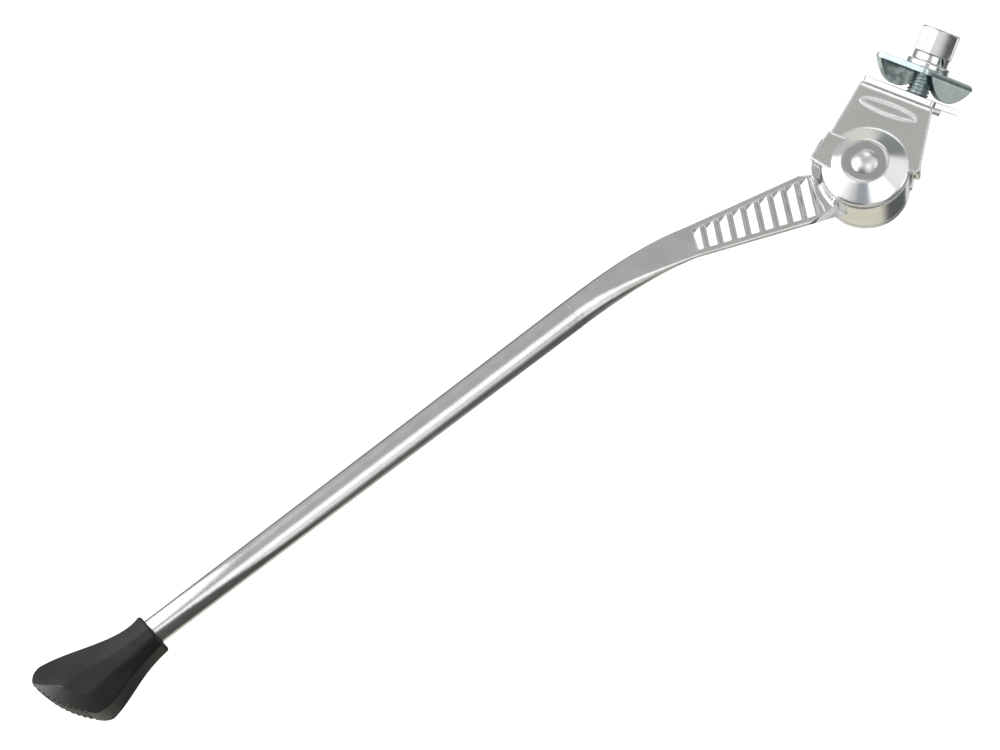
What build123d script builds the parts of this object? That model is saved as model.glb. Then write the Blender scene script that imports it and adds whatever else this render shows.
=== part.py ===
"""Bicycle kickstand for the chain stays: a bolted clamp, a stamped pivot bracket and a folding cast leg.

The bolt axis is +Z, and the origin is where it meets the top face of the seat plate.  The leg hangs on the outer
side of the bicycle, which is -Y, and +X is the way the leg folds up.  The leg stands in its parking position.

The pivot pieces are drawn in the cheek's own frame, where x is along X, y runs up the front cheek and z points
out of it, with the pivot at the origin on the cheek's outer face.  on_cheek() places them.
"""
import os
from math import atan2, cos, degrees, radians, sin, tan

from build123d import *

# Seat plate and bolt, in millimetres
SEAT_WIDTH = 26.0
SEAT_FRONT = 28.4             # bolt axis to the front edge
SEAT_REAR = 17.0              # bolt axis to the rear edge
SEAT_THICKNESS = 2.0
SEAT_CORNER = 1.5
BOLT_DIAMETER = 8.0
BOLT_LENGTH = 45.0
BOLT_CHAMFER = 0.9
BOLT_HOLE_CLEARANCE = 0.4     # radial, in plates and washers
THREAD_CLEARANCE = 0.05       # radial, bolt in nut
HEAD_ACROSS_FLATS = 13.0
HEAD_HEIGHT = 8.8
HEAD_CHAMFER = 0.7
HEAD_TURN = -25.0             # degrees, how the hexagon happens to stand
NUT_WIDTH = 13.0
NUT_HEIGHT = 6.5
NUT_CHAMFER = 1.2

# Clamp plate and washers
CLAMP_WIDTH = 21.0
CLAMP_LENGTH = 54.0
CLAMP_THICKNESS = 2.0
CLAMP_GAP = 7.5               # seat plate to the underside of the clamp plate's web
CLAMP_BEND = 2.6              # outer bend radius
CLAMP_CORNER = 3.0
CLAMP_TURN = -6.0             # degrees about the bolt, how the plate happens to stand
FLANGE_LENGTH = 48.0          # of the half-moon flanges, where they leave the web
FLANGE_DEPTH = 6.8            # below the web
FLAT_WASHER_DIAMETER = 15.2
FLAT_WASHER_THICKNESS = 2.1
LOCK_WASHER_DIAMETER = 12.8
LOCK_WASHER_THICKNESS = 3.0
LOCK_WASHER_SPLIT = 1.2
WASHER_EDGE = 0.35            # chamfer of the washers' rims
LOCK_WASHER_SPLIT_ANGLE = -35.0

# Pivot bracket
SHEET = 2.0
BRACKET_FRONT = 30.0          # bolt axis to the front fold's corner, before it is rounded
CHEEK_LEAN = 26.0             # degrees that the cheeks lean outward going down
CHEEK_SPAN = 18.0             # outside to outside, square to the cheeks
BRACKET_BEND = 3.2            # outer bend radius
PIVOT_DROP = 28.75            # web's front corner to the pivot, down the cheek
PIVOT_SHIFT = 1.9             # pivot ahead of the bolt axis, along X
CHEEK_CORNER_RIGHT = (17.4, 4.4)
CHEEK_CORNER_LEFT = (-16.0, 4.4)
CHEEK_CORNER_RADIUS = 1.6
CONE_RADIUS = 14.4            # rim of the pressed cone
CONE_FLAT_RADIUS = 7.8
CONE_HEIGHT = 4.0
DISH_RADIUS = 7.1
DISH_DEPTH = 0.4
POCKET_RISE = 2.0
POCKET_TOP = 6.2              # joggle, above the pivot
POCKET_WALL = 2.4
POCKET_LEFT = 17.6
POCKET_BOTTOM_LEFT = -5.2
POCKET_BOTTOM_RIGHT = -7.0
OVAL_HALF_LENGTH = 10.5
OVAL_HALF_HEIGHT = 2.5
OVAL_LINE = 1.0
OVAL_RISE = 0.4
OVAL_SLOPE = 0.38             # run of the slope on both sides of the oval's line
OVAL_HEIGHT = 22.2            # above the pivot
REAR_CHEEK_WIDTH = 20.0       # at the fold
REAR_CORNER = (14.2, 5.0)     # where the rear cheek's straight sides end
LIP_FROM = 14.4               # stop lip folded in at the front cheek's right corner
LIP_TO = 16.2
LIP_LOW = 6.6                 # above the pivot
LIP_REACH = 7.5               # inward from the cheek's inner face

# Pivot
RIVET_DIAMETER = 8.0
RIVET_HEAD_DIAMETER = 9.2
RIVET_HEAD_HEIGHT = 2.3
RIVET_TAIL_DIAMETER = 11.5
RIVET_TAIL_HEIGHT = 1.8
RIVET_HOLE_CLEARANCE = 0.04   # radial, in the cheeks
PIVOT_CLEARANCE = 0.08        # radial, leg on rivet
RUNNING_GAP = 0.35            # between the leg's drum and the bracket
SPRING_WIRE = 1.8
SPRING_RADIUS = 7.2           # to the middle of the wire
SPRING_TURNS = 3.25
SPRING_POCKET_RADIUS = 9.0
SPRING_POCKET_DEPTH = 9.0
SPRING_WASHER_RADIUS = 8.5
SPRING_WASHER_THICKNESS = 0.9

# Leg
DRUM_RADIUS = 14.8
DRUM_REAR_RADIUS = 14.5
LUG_INNER_RADIUS = 14.75
LUG_OUTER_RADIUS = 17.9
LUG_END_ANGLE = 213.0         # degrees round the pivot, the lug's lower end
LUG_STOP_GAP = 0.15
NECK_ANGLE = 42.4             # degrees from straight down the cheek
NECK_LENGTH = 86.0            # pivot to the bend's corner
NECK_RIBBED_END = 62.5        # pivot to the end of the straight, ribbed neck
NECK_ROOT = 20.5              # pivot to the neck's shoulder
NECK_ROOT_UPPER = 8.5         # half widths of the tapered neck, above and below its middle line
NECK_ROOT_LOWER = 9.9
NECK_SHOULDER_DROP = 7.0      # how far the shoulder's slope falls on its way to the pivot
NECK_END_WIDTH = 11.8
NECK_FACE_DEPTH = 5.5         # neck's flat, below the front cheek's face
NECK_THICKNESS = 10.2
NECK_EDGE = 0.8
NECK_WALL = 1.2               # square side of the neck, before it slopes in toward the back
NECK_BACK_CUT = 4.2           # how far each side has sloped in at the back
RELIEF_START = 24.0           # pivot to the start of the relief in the neck's lower front edge
RELIEF_WIDTH = 4.2            # how far the front edge has drawn in where the relief reaches the drum
RELIEF_DEPTH = 2.6
COLLAR_RADIUS = 16.0          # raised step between the drum and the neck's flat
BEND_STEPS = 5
BEND_STEP_DOWN = 0.05         # bend's round end inside the shaft's, so that the shaft's edge is clean
SHAFT_ANGLE = 25.0
SHAFT_LENGTH = 197.5          # bend's corner to the foot's mouth
SHAFT_TOP_DIAMETER = 10.6
SHAFT_END_DIAMETER = 9.3
SHAFT_IN_FOOT = 24.0
PANEL_START = 17.5            # recessed rib panel, from the pivot
PANEL_RIM = 2.1
PANEL_DEPTH = 1.3
PANEL_CORNER = 1.2
RIB_COUNT = 9
RIB_PITCH = 4.9
RIB_SKEW = 10.0               # degrees that the ribs lean from square to the neck
RIB_LAST = 59.4               # pivot to the rib farthest from it
RIB_WIDTH = 4.2               # at the panel's floor
RIB_CREST = 0.9
RIB_STEEP = 0.6               # run of the flank on the pivot's side
RIB_ROUND = 0.45
RIB_LOW = 0.15                # rib crests below the neck's flat

# Foot
FOOT_ANGLE = 20.0
FOOT_LENGTH = 38.5            # mouth to sole, along the foot
FOOT_MOUTH = (13.8, 13.8)     # width and depth
FOOT_WAIST = (15.8, 15.2)
FOOT_WAIST_AT = 11.5
FOOT_FLARE = (29.2, 19.0)
FOOT_FLARE_AT = 29.5
FOOT_FLARE_SHIFT = -2.6
FOOT_SOLE = (27.5, 16.0)
FOOT_FACET = 0.42             # share of each half side that the facets cut away
FOOT_CREASE = (1.0, 0.62)     # the same for the wide facet left of the front's crease, width and depth
FOOT_ROUND = 1.5              # round of the facets' edges
FOOT_SOCKET_CLEARANCE = 0.05
FOOT_LIP = 1.5                # mouth's slant past the square end of the socket
FOOT_TOE_ROUND = 5.0          # toe and heel, seen from the front
FOOT_MOUTH_ROUND = 1.0
SOLE_RADIUS = 39.0
SOLE_HALF_DEPTH = 8.7         # where the bevels along the sole's front and back start
SOLE_BEVEL = (4.6, 3.8)       # their height and depth
SOLE_GROOVES = 11
SOLE_GROOVE_PITCH = 2.2
SOLE_GROOVE_DEPTH = 0.7

LEAN = radians(CHEEK_LEAN)
WEB_TOP = -SEAT_THICKNESS
PIVOT_Y = -BRACKET_FRONT - PIVOT_DROP * sin(LEAN)
PIVOT_Z = WEB_TOP - PIVOT_DROP * cos(LEAN)
CHEEK = Plane(origin=(PIVOT_SHIFT, PIVOT_Y, PIVOT_Z), x_dir=(1, 0, 0), z_dir=(0, -cos(LEAN), sin(LEAN)))

BOLT_RADIUS = BOLT_DIAMETER / 2
RIVET_RADIUS = RIVET_DIAMETER / 2
CLAMP_TOP = CLAMP_GAP + CLAMP_THICKNESS
LOCK_WASHER_Z = CLAMP_TOP + FLAT_WASHER_THICKNESS
HEAD_Z = LOCK_WASHER_Z + LOCK_WASHER_THICKNESS

CONE_SLOPE = atan2(CONE_HEIGHT, CONE_RADIUS - CONE_FLAT_RADIUS)
DISH_FLOOR = CONE_HEIGHT - DISH_DEPTH
REAR_INSIDE = SHEET - CHEEK_SPAN
DRUM_FRONT = -SHEET - RUNNING_GAP
DRUM_REAR = REAR_INSIDE + RUNNING_GAP
NECK_FACE = -NECK_FACE_DEPTH
NECK_BACK = NECK_FACE - NECK_THICKNESS
LEG_MIDDLE = (NECK_FACE + NECK_BACK) / 2


def on_cheek(shape):
    """Places a shape drawn in the cheek's frame."""
    return CHEEK.location * shape


def down(angle):
    """Unit direction in the cheek's frame, so many degrees from straight down toward -x."""
    return Vector(-sin(radians(angle)), -cos(radians(angle)))


def revolved(points):
    """Solid of revolution about the pivot from (radius, height) points."""
    profile = Plane.XZ * Polygon(*points, align=None)
    return revolve(profile, Axis.Z)


def slab(sketch, low, high):
    """Sketch of the cheek's plane, thickened between two heights."""
    return extrude(Pos(0, 0, low) * sketch, high - low, dir=(0, 0, 1))


def cheek_y(offset, z):
    """Y of the plane that lies an offset outside the front cheek, at height z."""
    return PIVOT_Y + (z - PIVOT_Z) * tan(LEAN) - offset / cos(LEAN)


def cone_inside_radius(height):
    """Radius of the pressed cone's inner face at a height."""
    return CONE_RADIUS - (height + SHEET / cos(CONE_SLOPE)) / tan(CONE_SLOPE)


def u_channel():
    """Folded strip: web under the seat plate and two parallel, leaning cheeks, still without their outlines."""
    low = PIVOT_Z - 3 * CONE_RADIUS

    def section(front, rear, top, bend):
        corners = [(cheek_y(front, top), top), (cheek_y(rear, top), top), (cheek_y(rear, low), low)]
        corners.append((cheek_y(front, low), low))
        sketch = Polygon(*corners, align=None)
        return fillet(sketch.vertices().group_by(Axis.Y)[-1], bend)

    outside = section(0, -CHEEK_SPAN, WEB_TOP, BRACKET_BEND)
    inside = section(-SHEET, REAR_INSIDE, WEB_TOP - SHEET, BRACKET_BEND - SHEET)
    return extrude(Plane.YZ * (outside - inside), 3 * CONE_RADIUS, both=True)


def cheek_outline(width, right, left):
    """Outline of a cheek: a widening plate that ends in a round about the pivot."""
    top = PIVOT_DROP + SEAT_WIDTH
    top_right = width / 2 - PIVOT_SHIFT
    top_left = -width / 2 - PIVOT_SHIFT
    plate = Polygon((top_right, top), (top_right, PIVOT_DROP), right, left, (top_left, PIVOT_DROP), (top_left, top),
                    align=None)
    plate = fillet(plate.vertices().group_by(Axis.Y)[0], CHEEK_CORNER_RADIUS)
    return plate + Circle(CONE_RADIUS)


def pocket_outline():
    """Outline of the raised stop pocket at the left of the cone."""
    return Polygon((-CONE_FLAT_RADIUS, POCKET_TOP), (CHEEK_CORNER_LEFT[0], POCKET_TOP),
                   (-POCKET_LEFT, POCKET_BOTTOM_LEFT), (-CONE_FLAT_RADIUS, POCKET_BOTTOM_RIGHT), align=None)


def make_oval():
    """Raised oval line with sloping sides, sunk a little into the cheek."""
    def mound(inset, slope):
        levels = []
        for share in (-1, 1):
            narrower = inset + share * slope
            oval = Ellipse(OVAL_HALF_LENGTH - narrower, OVAL_HALF_HEIGHT - narrower)
            levels.append(Pos(0, 0, share * OVAL_RISE) * oval)
        return loft(levels, ruled=True)

    return mound(0, OVAL_SLOPE) - mound(OVAL_LINE, -OVAL_SLOPE)


def make_bracket():
    body = u_channel()
    far = 3 * CHEEK_SPAN
    step = REAR_INSIDE + BRACKET_BEND - SHEET
    front_outline = cheek_outline(SEAT_WIDTH, CHEEK_CORNER_RIGHT, CHEEK_CORNER_LEFT) + pocket_outline()
    rear_outline = cheek_outline(REAR_CHEEK_WIDTH, REAR_CORNER, (-REAR_CORNER[0], REAR_CORNER[1]))
    mask = slab(front_outline, step, far) + slab(rear_outline, -far, step)
    body = body & on_cheek(mask)

    # The cone is pressed out of the front cheek, with a dish for the rivet's head.
    inner_floor = DISH_FLOOR - SHEET
    hole = RIVET_RADIUS + RIVET_HOLE_CLEARANCE
    inner_rim = cone_inside_radius(-SHEET)
    cone = revolved([(hole, DISH_FLOOR), (DISH_RADIUS, DISH_FLOOR), (CONE_FLAT_RADIUS, CONE_HEIGHT),
                     (CONE_RADIUS, 0), (CONE_RADIUS, -SHEET), (inner_rim, -SHEET),
                     (cone_inside_radius(inner_floor), inner_floor), (hole, inner_floor)])
    blank = Cylinder(CONE_RADIUS, SHEET, align=(Align.CENTER, Align.CENTER, Align.MAX))

    # The pocket is a joggle that lifts the sheet over the leg's stop lug.
    lifted = slab(pocket_outline(), -SHEET, POCKET_RISE)
    lifted -= Cylinder(CONE_RADIUS, CHEEK_SPAN)
    roof = slab(pocket_outline() - Circle(CONE_FLAT_RADIUS), 0, POCKET_RISE)
    roof -= revolved([(0, -SHEET), (inner_rim, -SHEET), (cone_inside_radius(inner_floor), inner_floor),
                      (0, inner_floor)])
    room = Polygon((0, POCKET_TOP - POCKET_WALL), (-far, POCKET_TOP - POCKET_WALL), (-far, -far), (0, -far),
                   align=None)
    pocket = slab(room - Circle(CONE_RADIUS), -far, 0)
    front = on_cheek(lifted + roof - pocket + cone)

    body -= on_cheek(blank)
    body -= on_cheek(slab(pocket_outline() - Circle(CONE_RADIUS), -SHEET, 0) & pocket)
    body += front

    # A bare raised oval stands near the top of the front cheek.
    body += on_cheek(Pos(-PIVOT_SHIFT, OVAL_HEIGHT) * make_oval())

    # A lip folded in at the right corner stops the leg when it is folded up.
    lip = Pos(LIP_FROM, LIP_LOW) * Rectangle(LIP_TO - LIP_FROM, SHEET, align=(Align.MIN, Align.MIN))
    body += on_cheek(slab(lip, -SHEET - LIP_REACH, -SHEET))
    body -= on_cheek(Pos(0, 0, -CHEEK_SPAN) * Cylinder(hole, 2 * SHEET + CONE_HEIGHT))
    return body


def make_seat_plate():
    middle = (SEAT_REAR - SEAT_FRONT) / 2
    plate = Pos(0, middle) * RectangleRounded(SEAT_WIDTH, SEAT_FRONT + SEAT_REAR, SEAT_CORNER)
    plate -= Circle(BOLT_RADIUS + BOLT_HOLE_CLEARANCE)
    return extrude(plate, -SEAT_THICKNESS)


def make_weld_nut():
    blank = chamfer(Rectangle(NUT_WIDTH, NUT_WIDTH).vertices(), NUT_CHAMFER)
    blank -= Circle(BOLT_RADIUS + THREAD_CLEARANCE)
    return Pos(0, 0, -SEAT_THICKNESS) * extrude(blank, -NUT_HEIGHT)


def make_clamp_plate():
    """Inverted channel: a flat web with half-moon flanges folded down along both sides."""
    web = Rectangle(CLAMP_LENGTH, CLAMP_THICKNESS, align=(Align.CENTER, Align.MIN))
    half = FLANGE_LENGTH / 2
    moon_line = ThreePointArc((-half, 0), (0, -FLANGE_DEPTH), (half, 0)) + Line((half, 0), (-half, 0))
    moon = make_face(moon_line)
    side = Plane.YZ * (Pos(0, CLAMP_GAP) * (web + moon))
    body = extrude(side, CLAMP_WIDTH / 2, both=True)
    long_edges = body.edges().filter_by(Axis.Y).group_by(Axis.Z)[-1]
    body = fillet(long_edges, CLAMP_BEND)
    inside = Rectangle(CLAMP_WIDTH - 2 * CLAMP_THICKNESS, 4 * FLANGE_DEPTH, align=(Align.CENTER, Align.MAX))
    inside = fillet(inside.vertices().group_by(Axis.Y)[-1], CLAMP_BEND - CLAMP_THICKNESS)
    body -= extrude(Plane.XZ * (Pos(0, CLAMP_GAP) * inside), CLAMP_LENGTH, both=True)
    outline = RectangleRounded(CLAMP_WIDTH, CLAMP_LENGTH, CLAMP_CORNER)
    body &= extrude(outline, CLAMP_TOP)
    body -= Cylinder(BOLT_RADIUS + BOLT_HOLE_CLEARANCE, 4 * CLAMP_TOP)
    return Rot(0, 0, CLAMP_TURN) * body


def washer(diameter, thickness):
    """Ring for the bolt with chamfered rims, standing on z = 0."""
    disc = Cylinder(diameter / 2, thickness, align=(Align.CENTER, Align.CENTER, Align.MIN))
    disc = chamfer(disc.edges().filter_by(GeomType.CIRCLE), WASHER_EDGE)
    return disc - Cylinder(BOLT_RADIUS + BOLT_HOLE_CLEARANCE, 4 * thickness)


def make_flat_washer():
    return Pos(0, 0, CLAMP_TOP) * washer(FLAT_WASHER_DIAMETER, FLAT_WASHER_THICKNESS)


def make_lock_washer():
    body = washer(LOCK_WASHER_DIAMETER, LOCK_WASHER_THICKNESS)
    slot = Box(LOCK_WASHER_DIAMETER, LOCK_WASHER_SPLIT, 4 * LOCK_WASHER_THICKNESS,
               align=(Align.MIN, Align.CENTER, Align.CENTER))
    cut = Rot(0, 0, LOCK_WASHER_SPLIT_ANGLE) * Pos(0, 0, LOCK_WASHER_THICKNESS / 2) * Rot(25, 0, 0) * slot
    return Pos(0, 0, LOCK_WASHER_Z) * (body - cut)


def make_clamp_bolt():
    across_corners = HEAD_ACROSS_FLATS / cos(radians(30))
    hexagon = RegularPolygon(across_corners / 2, 6, rotation=HEAD_TURN)
    head = extrude(hexagon, HEAD_HEIGHT)
    top_radius = across_corners / 2 - 1.5 * HEAD_CHAMFER
    head &= revolved([(0, 0), (across_corners, 0), (across_corners, HEAD_HEIGHT - across_corners / 2),
                      (across_corners / 2, HEAD_HEIGHT - HEAD_CHAMFER), (top_radius, HEAD_HEIGHT), (0, HEAD_HEIGHT)])
    shank = Cylinder(BOLT_RADIUS, BOLT_LENGTH, align=(Align.CENTER, Align.CENTER, Align.MAX))
    shank = chamfer(shank.edges().group_by(Axis.Z)[0], BOLT_CHAMFER)
    return Pos(0, 0, HEAD_Z) * (head + shank)


def make_pivot_rivet():
    """Shank through both cheeks, a domed head in the dish and a set tail behind the rear cheek."""
    head_radius = RIVET_HEAD_DIAMETER / 2
    ball_radius = (head_radius ** 2 + RIVET_HEAD_HEIGHT ** 2) / (2 * RIVET_HEAD_HEIGHT)
    dome = Pos(0, 0, DISH_FLOOR + RIVET_HEAD_HEIGHT - ball_radius) * Sphere(ball_radius)
    dome &= slab(Circle(head_radius), DISH_FLOOR, DISH_FLOOR + RIVET_HEAD_HEIGHT)
    shank = slab(Circle(RIVET_RADIUS), -CHEEK_SPAN, DISH_FLOOR)
    tail = slab(Circle(RIVET_TAIL_DIAMETER / 2), -CHEEK_SPAN - RIVET_TAIL_HEIGHT, -CHEEK_SPAN)
    tail = fillet(tail.edges().group_by(Axis.Z)[0], 0.7 * RIVET_TAIL_HEIGHT)
    return on_cheek(dome + shank + tail)


def make_spring_washer():
    ring = Circle(SPRING_WASHER_RADIUS) - Circle(RIVET_RADIUS + PIVOT_CLEARANCE)
    return on_cheek(slab(ring, REAR_INSIDE, REAR_INSIDE + SPRING_WASHER_THICKNESS))


def make_pivot_spring():
    """Compression spring in the drum, between the thrust washer and the bottom of the drum's pocket."""
    low = REAR_INSIDE + SPRING_WASHER_THICKNESS + SPRING_WIRE / 2
    high = DRUM_REAR + SPRING_POCKET_DEPTH - RUNNING_GAP - SPRING_WIRE / 2
    path = Helix(pitch=(high - low) / SPRING_TURNS, height=high - low, radius=SPRING_RADIUS)
    wire = Plane(origin=path @ 0, z_dir=path % 0) * Circle(SPRING_WIRE / 2)
    return on_cheek(Pos(0, 0, low) * sweep(wire, path=path))


def on_neck(distance, side):
    """Point in the cheek's plane, so far from the pivot along the neck and so far above its middle line."""
    along = down(NECK_ANGLE)
    above = Vector(along.Y, -along.X)
    return along * distance + above * side


def neck_half_width(distance, root):
    """Half width of the tapered neck so far from the pivot, on the side that has this half width at the root."""
    share = (NECK_RIBBED_END - distance) / (NECK_RIBBED_END - NECK_ROOT)
    return NECK_END_WIDTH / 2 + (root - NECK_END_WIDTH / 2) * share


def bar_section(place, angle, upper, lower, blend=0.0):
    """Section of the leg's bar with two half widths: flat in front and sloping in behind, or round at blend 1.

    Its six corners go from the neck's section to a hexagon whose rounded corners leave a circle.
    """
    heading = down(angle)
    plane = Plane(origin=(place.X, place.Y, LEG_MIDDLE), x_dir=(0, 0, 1), z_dir=(heading.X, heading.Y, 0))
    front = NECK_THICKNESS / 2
    shaft = SHAFT_TOP_DIAMETER / 2 - BEND_STEP_DOWN
    corner = shaft / cos(radians(30))
    hexagon = [Vector(shaft, corner / 2), Vector(0, corner), Vector(-shaft, corner / 2)]

    def half(side):
        bar = [Vector(front, side), Vector(front - NECK_WALL, side), Vector(-front, side - NECK_BACK_CUT)]
        return [start + (end - start) * blend for start, end in zip(bar, hexagon)]

    outline = half(upper) + [Vector(point.X, -point.Y) for point in reversed(half(lower))]
    section = Polygon(*outline, align=None)
    return plane * fillet(section.vertices(), NECK_EDGE + (0.998 * shaft - NECK_EDGE) * blend)


def make_neck():
    """Tapered bar from inside the drum to the start of the bend, with a shoulder on its upper side."""
    shoulder = bar_section(on_neck(NECK_ROOT, 0), NECK_ANGLE, NECK_ROOT_UPPER, NECK_ROOT_LOWER)
    inside_upper = NECK_ROOT_UPPER - NECK_SHOULDER_DROP
    inside = bar_section(on_neck(0, 0), NECK_ANGLE, inside_upper, 0.8 * DRUM_REAR_RADIUS)
    return loft([inside, shoulder, bend_section(0)], ruled=True)


def make_drum():
    """Round head of the leg, with a male cone for the bracket's cone and a spring pocket behind."""
    bore = RIVET_RADIUS + PIVOT_CLEARANCE
    gap = RUNNING_GAP / cos(CONE_SLOPE)
    top = DISH_FLOOR - SHEET - RUNNING_GAP
    foot_radius = cone_inside_radius(DRUM_FRONT + gap)
    pocket_floor = DRUM_REAR + SPRING_POCKET_DEPTH
    return revolved([(bore, top), (cone_inside_radius(top + gap), top), (foot_radius, DRUM_FRONT),
                     (DRUM_RADIUS, DRUM_FRONT), (DRUM_REAR_RADIUS, DRUM_REAR), (SPRING_POCKET_RADIUS, DRUM_REAR),
                     (SPRING_POCKET_RADIUS, pocket_floor), (bore, pocket_floor)])


def make_lug():
    """Stop lug that stands up from the drum's edge into the bracket's pocket."""
    stop = POCKET_TOP - POCKET_WALL - LUG_STOP_GAP
    reach = 2 * LUG_OUTER_RADIUS
    middle = (LUG_INNER_RADIUS + LUG_OUTER_RADIUS) / 2
    end = Vector(middle * cos(radians(LUG_END_ANGLE)), middle * sin(radians(LUG_END_ANGLE)))
    ring = Circle(LUG_OUTER_RADIUS) - Circle(LUG_INNER_RADIUS)
    sector = Polygon((0, 0), (0, stop), (-reach, stop), (-reach, end.Y * reach / -end.X), align=None)
    tip = Pos(end.X, end.Y) * Circle((LUG_OUTER_RADIUS - LUG_INNER_RADIUS) / 2)
    finger = (ring & sector) + tip
    root = (Circle(LUG_OUTER_RADIUS) - Circle(DRUM_REAR_RADIUS / 2)) & sector
    root += tip
    return slab(finger, DRUM_FRONT, -RUNNING_GAP) + slab(root, NECK_FACE, DRUM_FRONT)


def make_rib():
    """Wave-shaped rib: a long slope on the foot's side, a rounded crest and a steep flank on the pivot's side."""
    low = RIB_LOW - PANEL_DEPTH
    back = -RIB_WIDTH / 2
    crest = back + RIB_STEEP
    front = RIB_WIDTH / 2
    wave = Polygon((back, low), (crest, 0), (crest + RIB_CREST, 0), (front, low), align=None)
    wave = fillet(wave.vertices().group_by(Axis.Y)[-1], RIB_ROUND)
    wave += Pos(0, low) * Rectangle(RIB_WIDTH, PANEL_DEPTH, align=(Align.CENTER, Align.MAX))
    return extrude(Plane.XZ * wave, 2 * NECK_ROOT_UPPER, both=True)


def make_rib_panel():
    """What is cut from the neck's flat: a recess with a row of ribs left standing in it."""
    def upper(distance):
        return neck_half_width(distance, NECK_ROOT_UPPER) - PANEL_RIM

    def lower(distance):
        return PANEL_RIM - neck_half_width(distance, NECK_ROOT_LOWER)

    panel_end = RIB_LAST + RIB_PITCH / 2
    corners = [on_neck(PANEL_START, upper(PANEL_START)), on_neck(panel_end, upper(panel_end)),
               on_neck(panel_end, lower(panel_end)), on_neck(PANEL_START, lower(PANEL_START))]
    panel = Polygon(*corners, align=None)
    panel = fillet(panel.vertices(), PANEL_CORNER) - Circle(COLLAR_RADIUS + PANEL_RIM)
    recess = slab(panel, NECK_FACE - PANEL_DEPTH, NECK_FACE + PANEL_DEPTH)
    angle = degrees(atan2(down(NECK_ANGLE).Y, down(NECK_ANGLE).X))
    for index in range(RIB_COUNT):
        distance = RIB_LAST - index * RIB_PITCH
        place = on_neck(distance, 0)
        recess -= Pos(place.X, place.Y, NECK_FACE - RIB_LOW) * Rot(0, 0, angle - RIB_SKEW) * make_rib()
    return recess


def bend_section(fraction):
    """Cross-section of the bend, turning from the neck's flat bar into the round shaft."""
    turn = NECK_ANGLE - SHAFT_ANGLE
    tangent = NECK_LENGTH - NECK_RIBBED_END
    radius = tangent / tan(radians(turn / 2))
    angle = NECK_ANGLE - turn * fraction
    start = down(NECK_ANGLE) * NECK_RIBBED_END
    side = Vector(-down(NECK_ANGLE).Y, down(NECK_ANGLE).X)
    centre = start + side * radius
    spoke = Vector(-down(angle).Y, down(angle).X)
    place = centre - spoke * radius
    blend = fraction * fraction * (3 - 2 * fraction)
    return bar_section(place, angle, NECK_END_WIDTH / 2, NECK_END_WIDTH / 2, blend)


def shaft_point(distance):
    """Point of the shaft's axis, so far past the bend's corner."""
    point = down(NECK_ANGLE) * NECK_LENGTH + down(SHAFT_ANGLE) * distance
    return Vector(point.X, point.Y, LEG_MIDDLE)


def make_shaft():
    heading = down(SHAFT_ANGLE)
    tangent = NECK_LENGTH - NECK_RIBBED_END
    straight = SHAFT_LENGTH - tangent
    plane = Plane(origin=shaft_point(tangent), z_dir=(heading.X, heading.Y, 0))
    tapered = Cone(SHAFT_TOP_DIAMETER / 2, SHAFT_END_DIAMETER / 2, straight,
                   align=(Align.CENTER, Align.CENTER, Align.MIN))
    stub = Pos(0, 0, straight) * Cylinder(SHAFT_END_DIAMETER / 2, SHAFT_IN_FOOT,
                                          align=(Align.CENTER, Align.CENTER, Align.MIN))
    return plane.location * (tapered + stub)


def make_root_relief():
    """What is cut from the neck's lower front edge, where it draws in toward the drum."""
    start = -neck_half_width(RELIEF_START, NECK_ROOT_LOWER)
    end = DRUM_RADIUS / 2
    far = -2 * NECK_ROOT_LOWER
    outline = Polygon(on_neck(RELIEF_START, start), on_neck(end, RELIEF_WIDTH - NECK_ROOT_LOWER), on_neck(end, far),
                      on_neck(RELIEF_START, far), align=None)
    return slab(outline, NECK_FACE - RELIEF_DEPTH, DRUM_FRONT)


def make_leg():
    collar = Pos(0, 0, (NECK_FACE + DRUM_FRONT) / 2) * Cone(COLLAR_RADIUS, DRUM_RADIUS, DRUM_FRONT - NECK_FACE)
    wedge = Polygon((0, 0), on_neck(NECK_ROOT, NECK_ROOT_UPPER), on_neck(NECK_ROOT, -NECK_ROOT_LOWER), align=None)
    collar &= slab(wedge, NECK_FACE - NECK_EDGE, DRUM_FRONT)
    clear = Cylinder(DRUM_REAR_RADIUS, 4 * CHEEK_SPAN)
    body = (make_neck() + collar - clear - make_root_relief()) + make_drum()
    body += make_lug() - clear
    body -= make_rib_panel()
    body += loft([bend_section(index / BEND_STEPS) for index in range(BEND_STEPS + 1)])
    body += make_shaft()
    return on_cheek(body)


def foot_section(place, size, angle):
    """Eight-sided section of the foot, square to a direction in the cheek's plane."""
    heading = down(angle)
    width, depth = size
    plane = Plane(origin=(place.X, place.Y, LEG_MIDDLE), x_dir=(heading.Y, -heading.X, 0),
                  z_dir=(heading.X, heading.Y, 0))
    side, front = width / 2, depth / 2
    cut_side, cut_front = side * (1 - FOOT_FACET), front * (1 - FOOT_FACET)
    crease_side, crease_front = side * (1 - FOOT_CREASE[0]), front * (1 - FOOT_CREASE[1])
    corners = [(cut_side, front), (side, cut_front), (side, -crease_front), (crease_side, -front)]
    corners += [(-cut_side, -front), (-side, -cut_front), (-side, cut_front), (-cut_side, front)]
    outline = Polygon(*corners, align=None)
    return plane * fillet(outline.vertices(), FOOT_ROUND)


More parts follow.
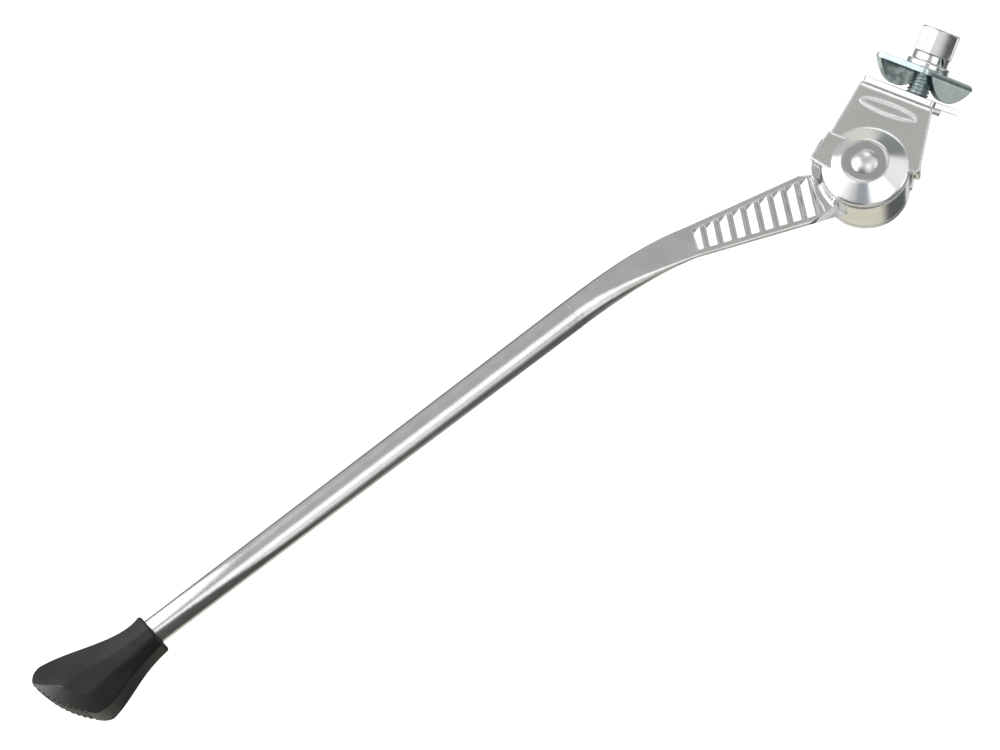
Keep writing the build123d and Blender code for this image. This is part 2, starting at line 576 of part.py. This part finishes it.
def make_foot():
    """Flared, faceted boot with a rocker sole, pushed on the end of the shaft."""
    mouth = shaft_point(SHAFT_LENGTH)
    axis = down(FOOT_ANGLE)
    aside = Vector(axis.Y, -axis.X)
    flare_at = mouth + axis * FOOT_FLARE_AT + aside * -FOOT_FLARE_SHIFT
    sole_at = mouth + axis * FOOT_LENGTH + aside * -FOOT_FLARE_SHIFT
    tip_at = sole_at + down(0) * FOOT_TOE_ROUND
    body = loft([foot_section(mouth, FOOT_MOUTH, FOOT_ANGLE),
                 foot_section(mouth + axis * FOOT_WAIST_AT, FOOT_WAIST, 0.75 * FOOT_ANGLE),
                 foot_section(flare_at, FOOT_FLARE, 0), foot_section(tip_at, FOOT_SOLE, 0)])
    body = fillet(body.faces().sort_by_distance(mouth)[0].outer_wire().edges(), FOOT_MOUTH_ROUND)

    # The sole is a rocker, with a round toe and heel.
    flare_half, tip_half = FOOT_FLARE[0] / 2, FOOT_SOLE[0] / 2
    outline = Polygon((flare_at.X - flare_half, flare_at.Y), (tip_at.X - tip_half, tip_at.Y),
                      (tip_at.X + tip_half, tip_at.Y), (flare_at.X + flare_half, flare_at.Y), align=None)
    outline &= Pos(sole_at.X, sole_at.Y + SOLE_RADIUS) * Circle(SOLE_RADIUS)
    outline = fillet(outline.vertices().sort_by(Axis.Y)[:2], FOOT_TOE_ROUND)
    outline += Pos(flare_at.X, flare_at.Y) * Rectangle(4 * flare_half, FOOT_LENGTH, align=(Align.CENTER, Align.MIN))
    body &= slab(outline, LEG_MIDDLE - FOOT_FLARE[1], LEG_MIDDLE + FOOT_FLARE[1])
    rise, inward = SOLE_BEVEL
    bevel = revolved([(SOLE_RADIUS - rise, SOLE_HALF_DEPTH), (SOLE_RADIUS, SOLE_HALF_DEPTH - inward),
                      (2 * SOLE_RADIUS, SOLE_HALF_DEPTH - inward), (2 * SOLE_RADIUS, FOOT_FLARE[1]),
                      (SOLE_RADIUS - rise, FOOT_FLARE[1])])
    body -= Pos(sole_at.X, sole_at.Y + SOLE_RADIUS, LEG_MIDDLE) * (bevel + mirror(bevel, Plane.XY))
    for index in range(SOLE_GROOVES):
        turn = degrees((index - (SOLE_GROOVES - 1) / 2) * SOLE_GROOVE_PITCH / SOLE_RADIUS)
        groove = Pos(0, -SOLE_RADIUS) * Rot(0, 0, 45) * Box(1.4 * SOLE_GROOVE_DEPTH, 1.4 * SOLE_GROOVE_DEPTH,
                                                           4 * FOOT_FLARE[1])
        body -= Pos(sole_at.X, sole_at.Y + SOLE_RADIUS, LEG_MIDDLE) * Rot(0, 0, turn) * groove
    heading = down(SHAFT_ANGLE)
    socket = Cylinder(SHAFT_END_DIAMETER / 2 + FOOT_SOCKET_CLEARANCE, SHAFT_IN_FOOT + FOOT_SOCKET_CLEARANCE + FOOT_LIP,
                      align=(Align.CENTER, Align.CENTER, Align.MIN))
    socket = Plane(origin=mouth, z_dir=(heading.X, heading.Y, 0)).location * Pos(0, 0, -FOOT_LIP) * socket
    return on_cheek(body - socket)


PIECES = {
    "bracket": make_bracket,
    "seat_plate": make_seat_plate,
    "weld_nut": make_weld_nut,
    "leg": make_leg,
    "foot": make_foot,
    "pivot_rivet": make_pivot_rivet,
    "pivot_spring": make_pivot_spring,
    "spring_washer": make_spring_washer,
    "clamp_plate": make_clamp_plate,
    "flat_washer": make_flat_washer,
    "lock_washer": make_lock_washer,
    "clamp_bolt": make_clamp_bolt,
}

os.makedirs("parts", exist_ok=True)
for name, make in PIECES.items():
    piece = make()
    piece.label = name
    export_step(piece, f"parts/{name}.step")
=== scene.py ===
"""Bicycle kickstand on white: finishes for the solids, a threaded bolt, studio light and the camera.

Lengths are in metres along the frame's axes: Z is up and the photograph was taken from about -Y.
"""

from math import cos, pi, radians, sin

import bpy
from mathutils import Matrix, Vector


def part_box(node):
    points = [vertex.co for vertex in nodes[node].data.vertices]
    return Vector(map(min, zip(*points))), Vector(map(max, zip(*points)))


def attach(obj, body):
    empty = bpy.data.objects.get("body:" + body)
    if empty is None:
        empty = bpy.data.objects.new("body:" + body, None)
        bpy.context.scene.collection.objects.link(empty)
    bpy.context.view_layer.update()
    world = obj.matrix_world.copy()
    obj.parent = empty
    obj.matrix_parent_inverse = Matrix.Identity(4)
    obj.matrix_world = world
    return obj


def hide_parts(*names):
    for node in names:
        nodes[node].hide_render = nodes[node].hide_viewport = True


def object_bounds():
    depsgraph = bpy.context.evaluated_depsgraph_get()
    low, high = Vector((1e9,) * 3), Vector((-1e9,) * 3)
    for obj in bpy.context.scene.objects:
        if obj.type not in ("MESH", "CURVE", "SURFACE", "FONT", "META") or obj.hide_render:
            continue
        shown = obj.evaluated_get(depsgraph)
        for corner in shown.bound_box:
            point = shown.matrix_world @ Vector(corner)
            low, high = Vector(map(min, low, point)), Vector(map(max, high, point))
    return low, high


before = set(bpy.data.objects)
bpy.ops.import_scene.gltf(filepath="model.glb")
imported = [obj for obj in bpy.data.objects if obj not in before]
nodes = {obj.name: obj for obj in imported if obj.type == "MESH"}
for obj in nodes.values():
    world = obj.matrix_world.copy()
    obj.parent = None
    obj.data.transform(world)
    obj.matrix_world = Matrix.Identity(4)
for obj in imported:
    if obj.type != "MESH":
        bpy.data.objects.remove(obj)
cad_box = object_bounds()


def heading(azimuth, elevation):
    """Unit direction from an azimuth, from -Y toward +X, and an elevation, in degrees."""
    turn, rise = radians(azimuth), radians(elevation)
    return Vector((cos(rise) * sin(turn), -cos(rise) * cos(turn), sin(rise)))


UP = Vector((0.0, 0.0, 1.0))

# Pivot of the leg: a point on the front cheek's outer face and the direction out of it
PIVOT = Vector((0.0019, -0.0426032, -0.0278403))
LEAN = radians(26.0)
OUT = Vector((0.0, -cos(LEAN), sin(LEAN)))

# Bracket: its sheet, and the pressed cone round the pivot with a flat dish in its middle
SHEET = 0.002
CONE_RADIUS = 0.0144
CONE_FLAT_RADIUS = 0.0078
CONE_HEIGHT = 0.004
CONE_SLOPE = CONE_HEIGHT / (CONE_RADIUS - CONE_FLAT_RADIUS)

# Bracket's finishes: how wide the cone's and the dish's edges blend, how far off the cone its finish still counts,
# and the round of the edges that get a painted highlight, with the cosines of the turned normal at which the painted
# highlight starts and is full
CONE_BLEND = 0.00008
DISH_BLEND = 0.0004
CONE_SKIN = 0.0001
EDGE_HIGHLIGHT_ROUND = 0.0016
EDGE_HIGHLIGHT_START = 0.95
EDGE_HIGHLIGHT_FULL = 0.87

# Clamp plate: its turn about the bolt, half of its channel, its web's underside, and how wide the edge of the painted
# shade and stain within the channel blends
CLAMP_TURN = radians(-6.0)
CHANNEL_HALF = 0.0085
CLAMP_GAP = 0.0075
CHANNEL_SHADE_BLEND = 0.0002

# Metals: the round that edges seem to have, the bump's depth, where in the noise the patches lie, and how much the
# patches and the grain change the roughness
EDGE_ROUND = 0.0003
GRAIN_DEPTH = 0.0001
PATCH_LOW = 0.3
PATCH_HIGH = 0.7
PATCH_ROUGHNESS = 0.08
GRAIN_ROUGHNESS = 0.10
ZINC_TINT = (0.985, 1.0, 1.01)

# Foot: the round that edges seem to have and the depth of the grain
FOOT_ROUND = 0.0008
FOOT_GRAIN_DEPTH = 0.0002

# Clamp bolt's thread. The tooth is a triangle cut flat at the crest and the root: its full height and its slope over
# one pitch are in depths of the thread.
BOLT_RADIUS = 0.004
THREAD_CORE = 0.0034
THREAD_DEPTH = BOLT_RADIUS - THREAD_CORE
THREAD_PITCH = 0.00125
TOOTH_PEAK = 1.25
TOOTH_SLOPE = 3.2
PLAIN_SHANK = 0.0022
PLAIN_RADIUS = 0.985 * BOLT_RADIUS
POINT_RADIUS = 0.93 * THREAD_CORE

# Clamp bolt's hexagon: half its width over flats, its height, its chamfer, its turn and how far the flats are crowned
HEAD_FLAT = 0.0065
HEAD_HEIGHT = 0.0088
HEAD_CHAMFER = 0.0007
HEAD_CHAMFER_RUN = 1.5 * HEAD_CHAMFER
HEAD_TURN = radians(-25.0)
HEAD_CROWN = 0.0002
HEAD_SIDES = 6
HALF_SIDE = pi / HEAD_SIDES

# Clamp bolt's mesh: points round the shank, rings per turn of thread, points per flat, rings in the chamfer and the
# angle from which an edge is sharp
SHANK_POINTS = 48
RINGS_PER_TURN = 10
FLAT_POINTS = 12
CHAMFER_STEPS = 5
SHARP_ANGLE = radians(32.0)

# Photograph's camera: its place from the pivot, heading and roll in degrees, and lens in pixels
CAMERA_FROM_PIVOT = Vector((0.194677, -0.878131, 0.031410))
CAMERA_YAW = -18.1535
CAMERA_PITCH = -8.9496
CAMERA_ROLL = 20.9177
CAMERA_NEAR = 0.01
CAMERA_FAR = 100.0
LENS_PIXELS = 2673.0
IMAGE_WIDTH = 1000.0
SENSOR_WIDTH = 36.0

# Floor: its drop below the part, half its size, its white and its glow
FLOOR_DROP = 0.25
FLOOR_SIZE = 12.0
FLOOR_TONE = 0.9
FLOOR_GLOW = 0.62

# Front of the foot's toe, the shaft's axis above the foot, and the middle of the shaft's lit stretch above that
TOE = Vector((-0.160, -0.150, -0.275))
SHAFT_END = Vector((-0.1347, -0.1348, -0.2411))
SHAFT_LIT = SHAFT_END + 0.033 * UP

# Black card beside the shaft's end: its distance and azimuth from there, half its width, and its lower and upper edge
FLAG_DISTANCE = 0.07
FLAG_AZIMUTH = 80.0
FLAG_HALF_WIDTH = 0.1
FLAG_DROP = 0.16
FLAG_RISE = 0.007
FLAG_TONE = 0.05

# Soft lights: name, place, target, width and height, power in watts, and whether shiny surfaces mirror the light
SOFTBOXES = (
    ("left_softbox", Vector((-1.6, -0.9, 0.7)), Vector((0.0, 0.0, -0.1)), (1.4, 1.4), 12.0, False),
    ("toe_softbox", TOE + 0.3 * heading(-64.0, -33.0), TOE, (0.12, 0.12), 1.3, True),
    ("shaft_softbox", SHAFT_LIT + 0.06 * heading(-52.0, 0.0), SHAFT_LIT, (0.15, 0.062), 0.024, True),
)

# Studio seen from the part, each card over those before it: name, azimuth from -Y toward +X, elevation, inner and
# outer radius of its soft edge, in degrees, and colour. The camera sees the backdrop instead.
BACKDROP = 1.05
TENT = (0.62, 0.62, 0.61)
CARDS = (
    ("grey_ceiling", -40.0, 52.0, 34.0, 58.0, (0.52, 0.525, 0.515)),
    ("dark_back", 138.0, -14.0, 38.0, 62.0, (0.12, 0.13, 0.13)),
    ("dark_top", 165.0, 70.0, 16.0, 28.0, (0.23, 0.25, 0.24)),
    ("cream_back", -133.0, 50.0, 10.0, 22.0, (0.76, 0.74, 0.67)),
    ("cream_floor", 170.0, -55.0, 22.0, 34.0, (0.86, 0.83, 0.70)),
    ("dark_left", -128.0, 10.0, 12.0, 26.0, (0.25, 0.26, 0.26)),
    ("left_window", -56.0, 0.0, 24.0, 36.0, (2.0, 2.0, 2.0)),
    ("front_window", -18.0, 1.0, 10.0, 15.0, (1.5, 1.5, 1.5)),
    ("low_dark", -6.0, -54.0, 24.0, 36.0, (0.08, 0.08, 0.08)),
    ("edge_window", 100.0, 22.0, 14.0, 22.0, (1.8, 1.8, 1.8)),
    ("right_top", 72.0, 46.0, 17.0, 28.0, (0.94, 0.94, 0.92)),
    ("right_window", 36.0, 9.0, 13.0, 26.0, (1.5, 1.5, 1.5)),
    ("blue_card", 10.0, -10.0, 8.0, 14.0, (0.33, 0.355, 0.39)),
    ("zenith_window", -70.0, 78.0, 12.0, 19.0, (1.7, 1.7, 1.7)),
    ("back_window", 171.5, 3.0, 4.5, 6.5, (1.6, 1.6, 1.55)),
    ("flange_window", 157.0, 4.0, 5.0, 8.0, (0.75, 0.75, 0.72)),
    ("shaft_window", 64.0, -11.0, 7.0, 13.0, (1.2, 1.2, 1.2)),
    ("dark_right", 68.0, 3.5, 8.5, 10.0, (0.10, 0.11, 0.11)),
)


class Graph:
    """Small helper that adds nodes to a material or a world and links them."""

    def __init__(self, tree):
        self.tree = tree
        tree.nodes.clear()

    def add(self, kind, inputs=None, **settings):
        node = self.tree.nodes.new(kind)
        for key, value in settings.items():
            setattr(node, key, value)
        for key, value in (inputs or {}).items():
            self.feed(node.inputs[key], value)
        return node

    def feed(self, socket, value):
        if isinstance(value, bpy.types.NodeSocket):
            self.tree.links.new(value, socket)
        else:
            socket.default_value = value

    def point(self):
        return self.add("ShaderNodeTexCoord").outputs["Object"]

    def math(self, operation, a, b=0.0, c=0.0):
        return self.add("ShaderNodeMath", {0: a, 1: b, 2: c}, operation=operation).outputs[0]

    def times(self, a, b):
        return self.math("MULTIPLY", a, b)

    def spread(self, value, span, low):
        """Value between 0 and 1, spread over a span that starts at low."""
        return self.math("MULTIPLY_ADD", value, span, low)

    def vector(self, operation, a, b=(0.0, 0.0, 0.0), out="Vector"):
        return self.add("ShaderNodeVectorMath", {0: a, 1: b}, operation=operation).outputs[out]

    def dot(self, a, b):
        return self.vector("DOT_PRODUCT", a, b, out="Value")

    def step(self, value, low, high):
        """Smooth step from 0 at low to 1 at high, either way round."""
        inputs = {0: value, 1: low, 2: high}
        return self.add("ShaderNodeMapRange", inputs, interpolation_type="SMOOTHSTEP").outputs[0]

    def mix(self, factor, a, b):
        """Colour between a and b. A Mix node's sockets share their names, so they are taken by number."""
        return self.add("ShaderNodeMix", {0: factor, 6: a, 7: b}, data_type="RGBA").outputs[2]

    def blend(self, factor, a, b):
        """Number between a and b."""
        return self.add("ShaderNodeMix", {0: factor, 2: a, 3: b}, data_type="FLOAT").outputs[0]

    def noise(self, vector, scale, detail):
        inputs = {"Vector": vector, "Scale": scale, "Detail": detail}
        return self.add("ShaderNodeTexNoise", inputs).outputs["Fac"]

    def rounded(self, radius, samples=12):
        """Normal with the edges rounded off."""
        return self.add("ShaderNodeBevel", {"Radius": radius}, samples=samples).outputs[0]

    def bump(self, height, strength, distance, normal):
        inputs = {"Strength": strength, "Distance": distance, "Height": height, "Normal": normal}
        return self.add("ShaderNodeBump", inputs).outputs[0]

    def principled(self, inputs):
        """Principled shader that makes the material's surface."""
        shader = self.add("ShaderNodeBsdfPrincipled", inputs)
        self.add("ShaderNodeOutputMaterial", {"Surface": shader.outputs[0]})
        return shader


def colour(value, tint=(1.0, 1.0, 1.0)):
    return (value * tint[0], value * tint[1], value * tint[2], 1.0)


def new_material(name):
    material = bpy.data.materials.new(name)
    material.use_nodes = True
    return material, Graph(material.node_tree)


class Metal:
    """Metal with a patchy tone and roughness, fine grain in the bump, and rounded edges that catch the light."""

    def __init__(self, name, tone, *, roughness, grain, grain_scale, patches, patch_scale, edge=EDGE_ROUND):
        self.material, self.graph = new_material(name)
        graph = self.graph
        point = graph.point()
        cloud = graph.noise(point, patch_scale, detail=3.0)
        fine = graph.noise(point, grain_scale, detail=2.0)
        self.base = graph.mix(graph.step(cloud, PATCH_LOW, PATCH_HIGH), colour(1.0 - patches, tone), tone)
        smoothest = roughness - (PATCH_ROUGHNESS + GRAIN_ROUGHNESS) / 2
        self.rough = graph.spread(fine, GRAIN_ROUGHNESS, graph.spread(cloud, PATCH_ROUGHNESS, smoothest))
        normal = graph.bump(fine, grain, GRAIN_DEPTH, graph.rounded(edge))
        self.shader = graph.principled({"Base Color": self.base, "Roughness": self.rough, "Metallic": 1.0,
                                        "Normal": normal})

    def cover(self, mask, base, rough=None):
        """Give the metal another colour, and another roughness if there is one, where the mask is 1."""
        self.base = self.graph.mix(mask, self.base, base)
        self.graph.feed(self.shader.inputs["Base Color"], self.base)
        if rough is not None:
            self.rough = self.graph.blend(mask, self.rough, rough)
            self.graph.feed(self.shader.inputs["Roughness"], self.rough)


def make_bracket_material():
    """Satin sheet whose rounded edges are painted bright as a highlight, and a lathe-turned cone round the pivot."""
    sheet = Metal("sheet_steel", colour(0.74, (1.0, 1.01, 0.985)), roughness=0.27, grain=0.04, grain_scale=1400.0,
                  patches=0.05, patch_scale=60.0, edge=0.0014)
    graph = sheet.graph

    # Painted highlight: along the rounded edges the sheet turns near white and rougher, so that the edges shine
    face = graph.add("ShaderNodeNewGeometry").outputs["True Normal"]
    edge_highlight = graph.step(graph.dot(graph.rounded(EDGE_HIGHLIGHT_ROUND), face), EDGE_HIGHLIGHT_START, EDGE_HIGHLIGHT_FULL)
    sheet.cover(edge_highlight, base=colour(0.97), rough=0.5)

    offset = graph.vector("SUBTRACT", graph.point(), PIVOT)
    height = graph.dot(offset, OUT)
    distance = graph.vector("LENGTH", graph.vector("CROSS_PRODUCT", offset, OUT), out="Value")
    cone_top = graph.times(graph.math("SUBTRACT", CONE_RADIUS, distance), CONE_SLOPE)
    above = graph.math("SUBTRACT", height, graph.math("MINIMUM", cone_top, CONE_HEIGHT))
    on_cone = graph.times(graph.step(distance, CONE_RADIUS, CONE_RADIUS - CONE_BLEND),
                          graph.step(above, 2 * CONE_SKIN, CONE_SKIN))
    on_cone = graph.times(on_cone, graph.step(height, -2 * SHEET, -1.5 * SHEET))
    in_dish = graph.times(on_cone, graph.step(distance, CONE_FLAT_RADIUS, CONE_FLAT_RADIUS - DISH_BLEND))

    outward = graph.add("ShaderNodeCombineXYZ", {0: distance}).outputs[0]
    turning = graph.noise(outward, scale=5000.0, detail=2.0)
    turned = graph.mix(turning, colour(0.82, (0.985, 0.995, 1.01)), colour(0.90, (0.99, 1.0, 1.01)))
    turned = graph.mix(in_dish, turned, colour(0.58))
    sheet.cover(on_cone, base=turned, rough=graph.spread(turning, span=0.06, low=0.14))
    return sheet.material


def make_clamp_material():
    """Blue zinc, darkened within the channel by painted shade with a stain mottle over it."""
    zinc = Metal("zinc_blue", colour(0.78, (0.84, 1.0, 1.02)), roughness=0.24, grain=0.05, grain_scale=1800.0,
                 patches=0.25, patch_scale=170.0)
    graph = zinc.graph
    point = graph.point()
    across = graph.math("ABSOLUTE", graph.dot(point, (cos(CLAMP_TURN), sin(CLAMP_TURN), 0.0)))
    height = graph.dot(point, UP)
    # Painted shade: the faces within the channel are darkened, with a stain mottle over the darkening
    inside = graph.times(graph.step(across, CHANNEL_HALF + 3 * CHANNEL_SHADE_BLEND, CHANNEL_HALF + CHANNEL_SHADE_BLEND),
                         graph.step(height, CLAMP_GAP + CHANNEL_SHADE_BLEND, CLAMP_GAP - CHANNEL_SHADE_BLEND))
    drawn_out = graph.vector("MULTIPLY", point, (1.0, 0.3, 1.0))
    stain = graph.step(graph.noise(drawn_out, scale=420.0, detail=3.0), 0.36, 0.66)
    stain_and_shade = graph.mix(stain, colour(0.20, (0.68, 1.0, 1.06)), colour(0.66, (0.80, 1.0, 0.99)))
    zinc.cover(inside, base=stain_and_shade)
    return zinc.material


def make_foot_material():
    """Black moulded foot: a fine leathery grain and a slight sheen."""
    material, graph = new_material("moulded_black")
    point = graph.point()
    cloud = graph.noise(point, scale=90.0, detail=4.0)
    fine = graph.noise(point, scale=1800.0, detail=3.0)
    black, less_black = colour(0.006, (1.0, 1.0, 0.97)), colour(0.011, (1.0, 1.0, 0.98))
    graph.principled({
        "Base Color": graph.mix(graph.step(cloud, 0.35, 0.65), black, less_black),
        "Roughness": graph.spread(fine, span=0.16, low=0.36),
        "Specular IOR Level": 0.31,
        "Normal": graph.bump(fine, 0.3, FOOT_GRAIN_DEPTH, graph.rounded(FOOT_ROUND, samples=8)),
    })
    return material


def dress(material, *names):
    """Give solids of the frame a material."""
    for name in names:
        mesh = nodes[name].data
        mesh.materials.clear()
        mesh.materials.append(material)


def add_object(name, data):
    added = bpy.data.objects.new(name, data)
    bpy.context.scene.collection.objects.link(added)
    return added


def add_skin(vertices, faces, rings):
    """Add a closed skin over a stack of rings of points, with a cap at each end."""
    stack = []
    for points in rings:
        start = len(vertices)
        vertices.extend(points)
        stack.append(range(start, len(vertices)))
    faces.append(tuple(reversed(stack[0])))
    for low, high in zip(stack, stack[1:]):
        for index in range(len(low)):
            after = (index + 1) % len(low)
            faces.append((low[index], low[after], high[after], high[index]))
    faces.append(tuple(stack[-1]))


def thread_radius(z, angle, bottom, head):
    """Radius of the shank: a thread that fades out under the head and starts at a chamfer."""
    phase = (z / THREAD_PITCH - angle / (2 * pi)) % 1.0
    tooth = min(1.0, max(0.0, TOOTH_PEAK - TOOTH_SLOPE * abs(phase - 0.5)))
    fade = min(1.0, max(0.0, (head - PLAIN_SHANK - z) / THREAD_PITCH))
    threaded = PLAIN_RADIUS + (THREAD_CORE + THREAD_DEPTH * tooth - PLAIN_RADIUS) * fade
    chamfer = min(1.0, (z - bottom) / THREAD_DEPTH)
    return min(threaded, POINT_RADIUS + (BOLT_RADIUS - POINT_RADIUS) * chamfer)


def shank_rings(bottom, head):
    angles = [2 * pi * index / SHANK_POINTS for index in range(SHANK_POINTS)]
    rows = int((head - bottom) / THREAD_PITCH * RINGS_PER_TURN)
    rings = []
    for row in range(rows + 1):
        z = bottom + (head - bottom) * row / rows
        radii = [thread_radius(z, angle, bottom, head) for angle in angles]
        rings.append([(r * cos(a), r * sin(a), z) for r, a in zip(radii, angles)])
    return rings


def hexagon_ring(z, limit):
    """Ring of the crowned hexagon at a height, cut off at a radius."""
    points = []
    for index in range(HEAD_SIDES * FLAT_POINTS):
        turn = 2 * pi * index / (HEAD_SIDES * FLAT_POINTS)
        off = turn % (2 * HALF_SIDE) - HALF_SIDE
        flat = HEAD_FLAT - HEAD_CROWN * (off / HALF_SIDE) ** 2
        r = min(flat / cos(off), limit)
        points.append((r * cos(turn + HEAD_TURN), r * sin(turn + HEAD_TURN), z))
    return points


def head_rings(head):
    """Rings of the hexagon. A cone chamfers it at the top, so each flat ends in a shallow arc."""
    corner = HEAD_FLAT / cos(HALF_SIDE)
    lower_edge = HEAD_CHAMFER / 2
    rings = [hexagon_ring(head, corner - lower_edge), hexagon_ring(head + lower_edge, corner)]
    for step in range(CHAMFER_STEPS + 1):
        share = step / CHAMFER_STEPS
        height = HEAD_HEIGHT - HEAD_CHAMFER * (1 - share)
        rings.append(hexagon_ring(head + height, corner - HEAD_CHAMFER_RUN * share))
    return rings


def make_bolt(head_material, shank_material):
    """Hexagon head on a shank with an M8 thread, which stands for the plain solid bolt."""
    low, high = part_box("clamp_bolt")
    head = high[2] - HEAD_HEIGHT
    vertices, faces = [], []
    add_skin(vertices, faces, shank_rings(low[2], head))
    add_skin(vertices, faces, head_rings(head))

    mesh = bpy.data.meshes.new("threaded_bolt")
    mesh.from_pydata(vertices, [], faces)
    mesh.validate()
    bolt = add_object("threaded_bolt", mesh)
    for polygon in mesh.polygons:
        polygon.use_smooth = len(polygon.vertices) == 4
        polygon.material_index = int(polygon.center.z < head)
    mesh.set_sharp_from_angle(angle=SHARP_ANGLE)
    mesh.materials.append(head_material)
    mesh.materials.append(shank_material)
    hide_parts("clamp_bolt")
    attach(bolt, "bolt")


def make_camera():
    yaw, pitch, roll = radians(CAMERA_YAW), radians(CAMERA_PITCH), radians(CAMERA_ROLL)
    forward = Vector((cos(pitch) * sin(yaw), cos(pitch) * cos(yaw), sin(pitch)))
    level = forward.cross(UP).normalized()
    above = level.cross(forward)
    right = cos(roll) * level + sin(roll) * above
    up = cos(roll) * above - sin(roll) * level
    matrix = Matrix((right, up, -forward)).transposed().to_4x4()
    matrix.translation = PIVOT + CAMERA_FROM_PIVOT

    camera = add_object("camera", bpy.data.cameras.new("camera"))
    camera.data.sensor_fit = "HORIZONTAL"
    camera.data.sensor_width = SENSOR_WIDTH
    camera.data.lens = SENSOR_WIDTH * LENS_PIXELS / IMAGE_WIDTH
    camera.data.clip_start = CAMERA_NEAR
    camera.data.clip_end = CAMERA_FAR
    camera.matrix_world = matrix
    bpy.context.scene.camera = camera


def make_card(name, corners, material_name, surface):
    """Flat matt card that belongs to the studio."""
    mesh = bpy.data.meshes.new(name)
    mesh.from_pydata(corners, [], [(0, 1, 2, 3)])
    material, graph = new_material(material_name)
    graph.principled({"Specular IOR Level": 0.0, **surface})
    mesh.materials.append(material)
    return add_object(name, mesh)


def make_floor():
    """White floor well below the part, which the metal doesn't mirror."""
    low = cad_box[0][2] - FLOOR_DROP
    corners = [(-FLOOR_SIZE, -FLOOR_SIZE, low), (FLOOR_SIZE, -FLOOR_SIZE, low),
               (FLOOR_SIZE, FLOOR_SIZE, low), (-FLOOR_SIZE, FLOOR_SIZE, low)]
    floor = make_card("floor", corners, "floor_white", {
        "Base Color": colour(FLOOR_TONE), "Roughness": 0.9,
        "Emission Color": colour(1.0), "Emission Strength": FLOOR_GLOW,
    })
    floor.visible_glossy = False


def make_flag():
    """Black card right of the shaft's lower end, which shows only as its mirror image in the part."""
    place = SHAFT_END + FLAG_DISTANCE * heading(FLAG_AZIMUTH, 0.0)
    along = FLAG_HALF_WIDTH * heading(FLAG_AZIMUTH + 90.0, 0.0)
    lower, upper = place - FLAG_DROP * UP, place + FLAG_RISE * UP
    corners = [lower - along, lower + along, upper + along, upper - along]
    flag = make_card("flag", corners, "flag_black", {"Base Color": colour(FLAG_TONE), "Roughness": 1.0})
    flag.visible_camera = False
    flag.visible_diffuse = False
    flag.visible_shadow = False


def make_world():
    """Pale tent with soft-edged bright and dark cards, which the metal mirrors. The camera sees plain white."""
    world = bpy.data.worlds.new("studio")
    bpy.context.scene.world = world
    world.use_nodes = True
    graph = Graph(world.node_tree)
    direction = graph.add("ShaderNodeTexCoord").outputs["Generated"]
    surround = colour(1.0, TENT)
    for name, azimuth, elevation, inner, outer, tone in CARDS:
        facing = graph.dot(direction, heading(azimuth, elevation))
        facing.node.label = name
        card = graph.step(facing, cos(radians(outer)), cos(radians(inner)))
        surround = graph.mix(card, surround, colour(1.0, tone))
    seen = graph.add("ShaderNodeLightPath").outputs["Is Camera Ray"]
    backdrop = graph.mix(seen, surround, colour(BACKDROP))
    background = graph.add("ShaderNodeBackground", {"Color": backdrop})
    graph.add("ShaderNodeOutputWorld", {"Surface": background.outputs[0]})


def make_softbox(name, place, target, size, power, mirrored):
    """Elliptic soft light, which the camera doesn't see."""
    light = bpy.data.lights.new(name, "AREA")
    light.shape = "ELLIPSE"
    light.size, light.size_y = size
    light.energy = power
    lamp = add_object(name, light)
    lamp.rotation_euler = (target - place).normalized().to_track_quat("-Z", "Y").to_euler()
    lamp.location = place
    lamp.visible_camera = False
    lamp.visible_glossy = mirrored


aluminium = Metal("cast_aluminium", colour(0.73, (1.0, 1.005, 0.99)), roughness=0.22, grain=0.26,
                  grain_scale=900.0, patches=0.09, patch_scale=110.0, edge=0.0004)
bright_zinc = Metal("zinc_bright", colour(0.80, ZINC_TINT), roughness=0.15, grain=0.05,
                    grain_scale=2000.0, patches=0.05, patch_scale=200.0)
spring_steel = Metal("spring_steel", colour(0.36), roughness=0.34, grain=0.08,
                     grain_scale=1800.0, patches=0.08, patch_scale=200.0)
bright_rivet = Metal("rivet_bright", colour(0.80, (1.0, 1.0, 0.99)), roughness=0.36, grain=0.03,
                     grain_scale=2400.0, patches=0.04, patch_scale=300.0)
# The bolt's zinc in two copies: the head is darkened as painted shade and the thread brightened as painted light
shaded_hexagon_zinc = Metal("shaded_hexagon_zinc", colour(0.52, ZINC_TINT), roughness=0.18, grain=0.05,
                     grain_scale=2000.0, patches=0.06, patch_scale=200.0)
lit_thread_zinc = Metal("lit_thread_zinc", colour(0.96, (0.93, 1.0, 1.02)), roughness=0.34, grain=0.03,
                    grain_scale=2000.0, patches=0.03, patch_scale=200.0)

dress(make_bracket_material(), "bracket")
dress(aluminium.material, "leg")
dress(make_foot_material(), "foot")
dress(make_clamp_material(), "clamp_plate")
dress(bright_zinc.material, "seat_plate", "weld_nut", "flat_washer", "lock_washer")
dress(spring_steel.material, "pivot_spring", "spring_washer")
dress(bright_rivet.material, "pivot_rivet")
make_bolt(shaded_hexagon_zinc.material, lit_thread_zinc.material)

make_camera()
make_floor()
make_flag()
make_world()
for softbox in SOFTBOXES:
    make_softbox(*softbox)
bpy.context.scene.view_settings.view_transform = "Standard"
